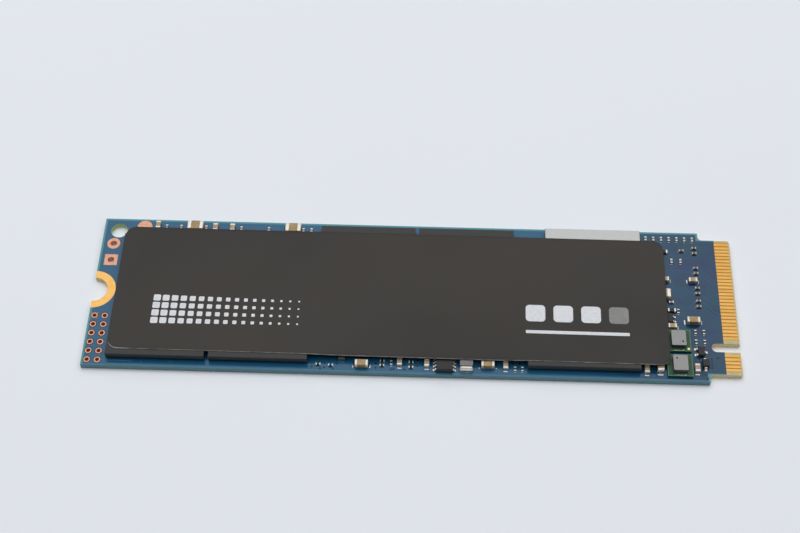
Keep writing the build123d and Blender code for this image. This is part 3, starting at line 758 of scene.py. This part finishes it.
def solder_joints(low, high, facing, reach):
    """Solder wedges in front of tinned caps: a hollow profile carried across the pad.

    The profile falls from the cap as a power of one less the distance, and ends in a thin toe. Across the
    pad its reach follows a rounded rectangle: the root of one less a power of the place.
    """
    across_size = np.where(facing[:, 0] != 0, (high - low)[:, 1], (high - low)[:, 0]) * JOINT_SPREAD
    climb = (high - low)[:, 2] * JOINT_CLIMB
    half = np.abs((high - low)[:, :2] * facing).sum(1) / 2
    foot = np.column_stack(((low + high)[:, :2] / 2 + facing * half[:, None], low[:, 2]))
    room = np.where(facing[:, 1] != 0, board_high.y - np.abs(foot[:, 1]) - PAD_MARGIN, np.inf)
    reach = np.minimum(reach, room)
    ahead = np.column_stack((facing, np.zeros(len(facing))))
    across = np.column_stack((-facing[:, 1], facing[:, 0], np.zeros(len(facing))))
    station = np.sin(np.linspace(1, -1, JOINT_STATIONS) * np.pi / 2)
    swell = np.maximum(1 - np.abs(station) ** PAD_POWER, PAD_SHARPNESS) ** (1 / PAD_POWER)
    distance = JOINT_CURVE[::-1]
    out = np.concatenate(((-JOINT_TUCK,), distance, (-JOINT_TUCK,)))
    up = np.concatenate(((0.0,), JOINT_TOE + (1 - JOINT_TOE) * (1 - distance) ** JOINT_FALL, (1.0,)))
    up[1] = 0.0               # the toe ends on the pad
    out = out[None, None, :, None] * reach[:, None, None, None] * swell[None, :, None, None]
    up = up[None, None, :, None] * climb[:, None, None, None] * swell[None, :, None, None]
    sideways = (station[None, :, None] * across_size[:, None, None] / 2)[..., None]
    return (foot[:, None, None] + ahead[:, None, None] * out + across[:, None, None] * sideways
            + np.array((0, 0, 1)) * up)


solder_bright = make_material(
    "solder_bright", ((176, 177, 178), (214, 213, 211)), 0.3 * MM, (0.18, 0.3), metallic=1.0,
    relief=0.002 * MM
)
joint_vertices = []
for name, (body_material, cap_material, reach) in CHIP_FINISHES.items():
    low, high = loose_boxes(f"{name}_ends")
    joint_vertices.append(solder_joints(low, high, outward(low, high), reach))
joint_vertices = np.concatenate(joint_vertices)
faces = ring_faces(*joint_vertices.shape[1:3], len(joint_vertices))
chip_joints = build_piece("chip_joints", joint_vertices, faces, (solder_bright,), smooth_angle=50)
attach(chip_joints, "root")


# Power modules: a converter chip in a small green board with a pale edge, and a coil pressed into a block
# of grey iron powder on top of it, its terminal soldered in front. Each block has a dark dot, and one
# board a gold one.
DOT_PROFILE = ((1.0, 0.0), (0.85, 1.0))
DOT_SIDES = 16
INK_DOTS = ((0.48, -0.5, 0.13), (-0.42, 0.62, 0.12))    # place about the middle of a block, and radius
GOLD_DOT = (1.2, -1.17, 0.17)                           # the same about the middle of a board
DOT_HEIGHT = 0.012 * MM
RIM_WIDTH = 0.07 * MM
RIM_HEIGHT = 0.012 * MM
STRIP_ROUNDING = 0.4          # edge radius of a rim or terminal, as a share of its height
TERMINAL = (1.3 * MM, 0.09 * MM, 0.03 * MM)             # along, across and up
TERMINAL_GAP = 0.28 * MM      # block to its terminal, towards the near edge


def build_dot(name, node, dot, material):
    """A low round dot on top of a CAD node, at a place about its middle: a short profile turned once."""
    low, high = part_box(node)
    x, y, radius = (value * MM for value in dot)
    place = ((low.x + high.x) / 2 + x, (low.y + high.y) / 2 + y, high.z)
    vertices = turned([place], np.array(DOT_PROFILE) * (radius, DOT_HEIGHT), DOT_SIDES)
    return build_piece(name, vertices, ring_faces(len(DOT_PROFILE), DOT_SIDES), (material,))


module_green = make_material(
    "module_green", ((28, 62, 42), (46, 88, 60)), 0.5 * MM, (0.4, 0.55), relief=0.003 * MM
)
module_rim = make_material(
    "module_rim", ((64, 134, 92), (104, 168, 126)), 0.3 * MM, (0.4, 0.55), relief=0.003 * MM
)
iron_powder = make_material(
    "iron_powder", ((142, 143, 142), (166, 167, 165)), 0.1 * MM, (0.5, 0.7), metallic=0.2,
    relief=0.006 * MM
)
# The block's upright sides are the same iron powder as its top, painted darker: painted shade of the sides.
iron_powder_shaded_sides = make_material(
    "iron_powder_shaded_sides", ((70, 72, 70), (96, 98, 96)), 0.1 * MM, (0.5, 0.7), metallic=0.2, relief=0.006 * MM
)
ink_dark = make_material("ink_dark", ((30, 32, 32), (44, 46, 46)), 0.1 * MM, (0.5, 0.7))
dot_gold = make_material(
    "dot_gold", ((240, 208, 134), (255, 230, 166)), 0.1 * MM, (0.3, 0.45), metallic=0.8,
    relief=0.002 * MM
)
rim_low, rim_high, terminal_low, terminal_high = [], [], [], []
for number in (1, 2):
    board, block = f"power_module_board_{number}", f"power_module_block_{number}"
    dress(board, module_green)
    dress(block, iron_powder, iron_powder_shaded_sides)
    low, high = (np.array(corner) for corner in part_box(board))
    inner_low, inner_high = low + RIM_WIDTH, high - RIM_WIDTH
    for start, end in (
        (low[:2], (high[0], inner_low[1])),
        ((low[0], inner_high[1]), high[:2]),
        ((low[0], inner_low[1]), (inner_low[0], inner_high[1])),
        ((inner_high[0], inner_low[1]), (high[0], inner_high[1])),
    ):
        rim_low.append((*start, high[2] - RIM_HEIGHT))
        rim_high.append((*end, high[2] + RIM_HEIGHT))
    block_low, block_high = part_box(block)
    middle, front = (block_low.x + block_high.x) / 2, block_low.y - TERMINAL_GAP
    terminal_low.append((middle - TERMINAL[0] / 2, front - TERMINAL[1], high[2] - TERMINAL[2] / 2))
    terminal_high.append((middle + TERMINAL[0] / 2, front, high[2] + TERMINAL[2] / 2))
    ink_dot = build_dot(f"module_mark_{number}", block, INK_DOTS[number - 1], ink_dark)
    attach(ink_dot, "root")
dress("power_module_lands", solder)

for name, low, high, material, slot in (
    ("module_rims", rim_low, rim_high, module_rim, "module_board"),
    ("module_terminals", terminal_low, terminal_high, solder_bright, "solder"),
):
    low, high = np.array(low), np.array(high)
    edge_radius = (high - low)[:, 2] * STRIP_ROUNDING
    vertices = rounded_boxes(low, high, edge_radius, edge_radius, CAP_STEPS)
    strips = build_piece(name, vertices, ring_faces(*vertices.shape[1:3], len(low)), (material,))
    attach(strips, "root")

gold_dot = build_dot("module_gold_dot", "power_module_board_1", GOLD_DOT, dot_gold)
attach(gold_dot, "root")


# Leaded parts: a logic chip, a switch chip, a transistor and a diode, moulded in black epoxy round a
# stamped frame whose tinned leads are bent down to the board in two soft bends.
LEAD_BEND = 0.07 * MM         # radius of both bends
LEAD_LEAN = 0.9               # how far each turns, as a share of a right angle
LEAD_BENDS = (0.08, 0.62)     # start of the first and end of the second, as shares of a lead's length
LEAD_FOOT = 0.2 * MM          # height of a foot, for the solder to climb
LEAD_REACH = 0.06 * MM        # solder beyond a lead
LEAD_THICKNESS = 0.1 * MM
BEND_STEPS = 4
LEADED = ("logic_chip", "switch_chip", "transistor", "diode")


def bent_leads(low, high, facing):
    """Leads as a flat strip carried along an S: out of the body, down a slope and out along the board.

    Both bends are arcs of the same radius. The path lies in the plane of the lead's way out and the upright.
    """
    vertices = []
    angle = np.linspace(0, 1, BEND_STEPS) * np.pi / 2 * LEAD_LEAN
    bend = np.stack((np.sin(angle), np.cos(angle) - 1), 1) * LEAD_BEND
    for corner, opposite, way in zip(low, high, facing):
        size = opposite - corner
        length = abs(size[:2] @ way)
        width = size[:2].sum() - length
        top, bottom = size[2] - LEAD_THICKNESS / 2, LEAD_THICKNESS / 2
        upper = bend + (length * LEAD_BENDS[0], top)
        lower = -bend[::-1] + (length * LEAD_BENDS[1], bottom)
        path = np.concatenate((((0.0, top),), upper, lower, ((length, bottom),)))
        half, thick = width / 2, LEAD_THICKNESS / 2
        strip = carry(path, ((-thick, -half), (thick, -half), (thick, half), (-thick, half)))
        start = (corner + opposite)[:2] / 2 - way * length / 2
        place = start + strip[..., :1] * way + strip[..., 2:] * np.array((way[1], -way[0]))
        vertices.append(np.concatenate((place, strip[..., 1:2] + corner[2]), 2))
    return np.array(vertices)


black_epoxy = make_material(
    "black_epoxy", ((30, 30, 32), (46, 46, 47)), 0.12 * MM, (0.45, 0.65), relief=0.005 * MM
)
for name in LEADED:
    dress(f"{name}_body", black_epoxy)
    low, high = loose_boxes(f"{name}_leads")
    body_low, body_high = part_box(f"{name}_body")
    away = (low + high)[:, :2] / 2 - np.array((body_low + body_high)[:2]) / 2
    outside = np.abs(away) - np.array((body_high - body_low)[:2]) / 2
    facing = np.sign(away) * (outside == outside.max(1)[:, None])
    vertices = bent_leads(low, high, facing)
    faces = ring_faces(*vertices.shape[1:3], len(vertices))
    leads = build_piece(f"{name}_bent_leads", vertices, faces, (tinned,))
    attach(leads, "root")
    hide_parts(f"{name}_leads")
    feet_high = np.column_stack((high[:, :2], low[:, 2] + LEAD_FOOT))
    vertices = solder_joints(low, feet_high, facing, LEAD_REACH)
    faces = ring_faces(*vertices.shape[1:3], len(vertices))
    joints = build_piece(f"{name}_joints", vertices, faces, (solder_bright,), smooth_angle=50)
    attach(joints, "root")


# Label: a charcoal printed film with adhesive on its back, die-cut with rounded corners and pressed on
# over the packages. It droops where nothing is under it. Its cut edge shows the film's pale core, most at
# the near side, where the pale upper rim is partly a painted highlight, and the core is painted paler
# towards the notch end, also as a highlight.
LABEL_RADIUS = 1.4 * MM
LABEL_SKEW = math.radians(-0.2)
LABEL_COLUMNS = 120
LABEL_ROWS = 42
CORNER_COLUMNS = 9
LABEL_SPARE = 0.1 * MM        # cut a little wider than its place
LABEL_SHIFT = -0.07 * MM      # and pressed on a little nearer
# At the near side this strip takes the pale core colour, partly a painted highlight.
LABEL_RIM = 0.075 * MM        # strip of bare core along the cut
LABEL_BEVEL = 0.03 * MM
PRINT_LIFT = 0.004 * MM       # left over the film for the print
DROOP_CORNER = 0.26 * MM      # past the cache and the controller, at the near corner
DROOP_NEAR = 0.13 * MM        # along the near side, past the flash packages
DROOP_FAR = 0.05 * MM         # along the far side, past the flash packages
DROOP_BLEND = 3 * MM          # over which those two set in
DROOP_OVERSHOOT = 1.2         # the near one goes on this far, because the film is shifted past its place

label_low, label_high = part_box("product_label")
label_middle = (label_low + label_high) / 2 + Vector((0, LABEL_SHIFT, 0))
skew_cos, skew_sin = math.cos(LABEL_SKEW), math.sin(LABEL_SKEW)
inner = [side - 2 * LABEL_RADIUS for side in (label_high - label_low)[:2]]
unskew = skew_cos ** 2 - skew_sin ** 2
label_length = (inner[0] * skew_cos - inner[1] * abs(skew_sin)) / unskew + 2 * LABEL_RADIUS
label_width = (inner[1] * skew_cos - inner[0] * abs(skew_sin)) / unskew + 2 * LABEL_RADIUS + LABEL_SPARE
label_thickness = label_high.z - label_low.z - PRINT_LIFT


def way_past(value, start, end, most=1):
    """How far a value is on its way from start to end, from 0 to 1, or to the most given."""
    return np.clip((value - start) / (end - start), 0, most)


def label_height(x, y):
    """Height of the label's upper face: level on the packages, lower by a square law past their edges."""
    first, second, third = (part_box(f"flash_body_{number}") for number in (1, 2, 3))
    cache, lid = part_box("cache_body"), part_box("controller_lid")
    corner = way_past(x, lid[1].x, label_high.x) ** 2 * way_past(y, lid[1].y, label_low.y)
    near = way_past(y, third[0].y, label_low.y, DROOP_OVERSHOOT) ** 2
    near = near * way_past(x, second[1].x, second[1].x + DROOP_BLEND)
    near = near * way_past(x, cache[0].x, cache[0].x - DROOP_BLEND)
    far = way_past(y, first[1].y, label_high.y) * way_past(x, third[0].x, third[0].x - DROOP_BLEND)
    droop = DROOP_CORNER * corner + DROOP_NEAR * near + DROOP_FAR * far ** 2
    return label_high.z - PRINT_LIFT - droop


def film_sheet(along, across, length, width, radius, columns, rows, rim, bevel, upper, lower):
    """A thin sheet that follows the label: at each station a flat closed profile, as wide as the outline.

    The middle is given along and across the label, whose skew turns it. The profile runs along the lower
    face and back along the upper one, each at a height over the label's, with a narrow rim that the bevel
    lowers. The outline is a rectangle with quarter circles for corners.
    """
    corner = radius * (1 - np.cos(np.linspace(0, np.pi / 2, CORNER_COLUMNS)))
    straight = np.linspace(radius, length - radius, columns)[1:-1]
    station = np.concatenate((corner, straight, length - corner[::-1]))
    depth = np.minimum(np.minimum(station, length - station), radius)
    half = width / 2 - radius + np.sqrt(radius ** 2 - (radius - depth) ** 2)
    inside = 1 - 2 * rim / width
    share = np.concatenate(((-1.0,), np.linspace(-inside, inside, rows - 2), (1.0,)))
    share = np.concatenate((share, share[::-1]))
    along = along + (station - length / 2)[:, None]
    across = across + half[:, None] * share[None]
    x = label_middle.x + along * skew_cos - across * skew_sin
    y = label_middle.y + along * skew_sin + across * skew_cos
    lift = np.full(x.shape, float(upper))
    lift[:, (rows, -1)] -= bevel
    lift[(0, -1), :] = upper - bevel
    lift[:, :rows] = lower
    return np.stack((x, y, label_height(x, y) + lift), 2)


label_charcoal = make_material(
    "label_charcoal", ((46, 41, 36), (52, 47, 42)), 9 * MM, (0.45, 0.55), relief=0.002 * MM,
    specular=0.45
)
add_drift(label_charcoal, (38, 34, 30), 30 * MM, 0.7)
label_core_and_highlight = make_material("label_core_and_highlight", ((66, 64, 62), (136, 133, 130)), 1.2 * MM, (0.5, 0.6))
# The core is painted paler towards the notch end: painted highlight of the cut edge there.
corner_end = label_low.x + LABEL_RADIUS
add_band(label_core_and_highlight, (178, 178, 176), LABEL_RADIUS, share=0.8, X=(label_low.x, corner_end))
vertices = film_sheet(
    0, 0, label_length, label_width, LABEL_RADIUS, LABEL_COLUMNS, LABEL_ROWS, LABEL_RIM, LABEL_BEVEL, 0,
    -label_thickness
)
film = build_piece("label_film", vertices, ring_faces(*vertices.shape[:2]), (label_charcoal, label_core_and_highlight))
# Sides, ends and the near side's upper rim take the core; on that upper rim the pale core is partly a
# painted highlight.
rim = np.zeros((vertices.shape[0] - 1, vertices.shape[1]), np.int32)
rim[:, (LABEL_ROWS - 1, -2, -1)] = 1
set_materials(film.data, np.concatenate((rim.ravel(), (1, 1))))
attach(film, "root")
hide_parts("product_label")


# Print on the label: white ink in plain shapes. A field of squares that shrink along their row stands at
# the notch end, and four blocks over a thin rule at the connector end, the last block grey.
SQUARE_ROWS = 4
SQUARE_COLUMNS = 17
SQUARE_PITCH = 1.1 * MM
SQUARE_SIZES = (0.9 * MM, 0.22 * MM)
SQUARES_MIDDLE = (-20.0 * MM, -3.3 * MM)
BLOCKS_MIDDLE = (23.0 * MM, -2.3 * MM)
BLOCK_SIZE = 2.4 * MM
BLOCK_PITCH = 3.4 * MM
BLOCK_COUNT = 4
RULE_DROP = 2.7 * MM          # blocks to the rule under them
RULE_WIDTH = 0.45 * MM
CORNER_SHARE = 0.2            # corner radius of a square or block, of its size
INK_ROWS = 4
INK_RIM = 0.05                # rim of a patch, as a share of its width

ink_white = make_material("ink_white", ((214, 217, 222), (230, 232, 236)), 0.3 * MM, (0.5, 0.65))
ink_grey = make_material("ink_grey", ((128, 127, 126), (146, 145, 144)), 0.3 * MM, (0.5, 0.65))


def ink_patches(name, places, materials):
    """Ink patches on the label, each given as its middle along and across, length, width and material."""
    vertices, faces, which, start = [], [], [], 0
    for along, across, length, width, material in places:
        columns = 3 + int(length / MM)
        radius = min(length, width) * CORNER_SHARE
        patch = film_sheet(
            along, across, length, width, radius, columns, INK_ROWS, width * INK_RIM, PRINT_LIFT / 2,
            PRINT_LIFT, -PRINT_LIFT
        )
        vertices.append(patch.reshape(-1, 3))
        groups = ring_faces(*patch.shape[:2])
        faces += [group + start for group in groups]
        which += [material] * sum(len(group) for group in groups)
        start += len(vertices[-1])
    piece = build_piece(name, np.concatenate(vertices), faces, materials)
    set_materials(piece.data, which)
    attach(piece, "root")


column, row = np.meshgrid(np.arange(SQUARE_COLUMNS), np.arange(SQUARE_ROWS))
column, row = column.ravel(), row.ravel()
size = np.interp(column, (0, SQUARE_COLUMNS - 1), SQUARE_SIZES)
along = SQUARES_MIDDLE[0] + (column - (SQUARE_COLUMNS - 1) / 2) * SQUARE_PITCH
across = SQUARES_MIDDLE[1] + (row - (SQUARE_ROWS - 1) / 2) * SQUARE_PITCH
ink_patches("print_squares", [(*place, 0) for place in zip(along, across, size, size)], (ink_white,))

blocks = []
for index in range(BLOCK_COUNT):
    along = BLOCKS_MIDDLE[0] + (index - (BLOCK_COUNT - 1) / 2) * BLOCK_PITCH
    blocks.append((along, BLOCKS_MIDDLE[1], BLOCK_SIZE, BLOCK_SIZE, int(index == BLOCK_COUNT - 1)))
rule_length = (BLOCK_COUNT - 1) * BLOCK_PITCH + BLOCK_SIZE
blocks.append((BLOCKS_MIDDLE[0], BLOCKS_MIDDLE[1] - RULE_DROP, rule_length, RULE_WIDTH, 0))
ink_patches("print_blocks", blocks, (ink_white, ink_grey))


# Floor, light and camera: the card lies on a pale table under a wide white ceiling light, with a smaller
# soft lamp from behind that gives it its shadow. The camera looks down on the near long side.
FLOOR_HALF = 1.5
CEILING_PLACE = Vector((0.0, 0.58, 0.85))
CEILING_SIZE = 2.0
CEILING_WATTS = 13.9
KEY_ELEVATION = math.radians(72)
KEY_AZIMUTH = math.radians(205)
KEY_DISTANCE = 0.7
KEY_SIZE = 0.3
KEY_WATTS = 0.9
ROOM_STRENGTH = 0.1
CAMERA_AIM = Vector((-1.752, 3.524, 2.442)) * MM
CAMERA_AZIMUTH = math.radians(2.62)
CAMERA_ELEVATION = math.radians(55.27)
CAMERA_DISTANCE = 188.3 * MM
CAMERA_ROLL = math.radians(-0.65)
CAMERA_LENS = 67.82
CAMERA_SENSOR = 36
CAMERA_CLIP = 10 * MM


def way_to(azimuth, elevation):
    """Direction to a place at an azimuth, counted from the near side, and an elevation, both as angles."""
    level = math.cos(elevation)
    return Vector((math.sin(azimuth) * level, -math.cos(azimuth) * level, math.sin(elevation)))


def aim_object(name, data, place, way):
    """A lamp or camera at a place, turned to look along a way."""
    aimed = bpy.data.objects.new(name, data)
    aimed.location = place
    aimed.rotation_mode = "QUATERNION"
    aimed.rotation_quaternion = way.to_track_quat("-Z", "Y")
    bpy.context.scene.collection.objects.link(aimed)
    return aimed


def add_lamp(name, place, way, size, watts):
    """A square soft lamp at a place, turned to shine along a way."""
    lamp = bpy.data.lights.new(name, "AREA")
    lamp.size = size
    lamp.energy = watts
    return aim_object(name, lamp, place, way)


floor_white = make_material("floor_white", ((238, 242, 248), (241, 245, 251)), 0.2, (0.8, 0.9))
floor_corners = np.array(((-1, -1, 0), (1, -1, 0), (1, 1, 0), (-1, 1, 0))) * FLOOR_HALF
floor = build_piece("floor", floor_corners, [np.arange(4)[None]], (floor_white,))

world = bpy.data.worlds.new("room")
bpy.context.scene.world = world
world.use_nodes = True
background = world.node_tree.nodes["Background"]
background.inputs["Color"].default_value = srgb(246, 250, 255)
background.inputs["Strength"].default_value = ROOM_STRENGTH

add_lamp("ceiling", CEILING_PLACE, Vector((0, 0, -1)), CEILING_SIZE, CEILING_WATTS)
key_way = way_to(KEY_AZIMUTH, KEY_ELEVATION)
key = add_lamp("key", key_way * KEY_DISTANCE, -key_way, KEY_SIZE, KEY_WATTS)
key.visible_glossy = False

camera = bpy.data.cameras.new("camera")
camera.lens = CAMERA_LENS
camera.sensor_width = CAMERA_SENSOR
camera.clip_start = CAMERA_CLIP
back = way_to(CAMERA_AZIMUTH, CAMERA_ELEVATION)
camera_object = aim_object("camera", camera, CAMERA_AIM + back * CAMERA_DISTANCE, -back)
camera_object.rotation_quaternion @= Quaternion((0, 0, 1), CAMERA_ROLL)
bpy.context.scene.camera = camera_object
bpy.context.scene.view_settings.view_transform = "Standard"
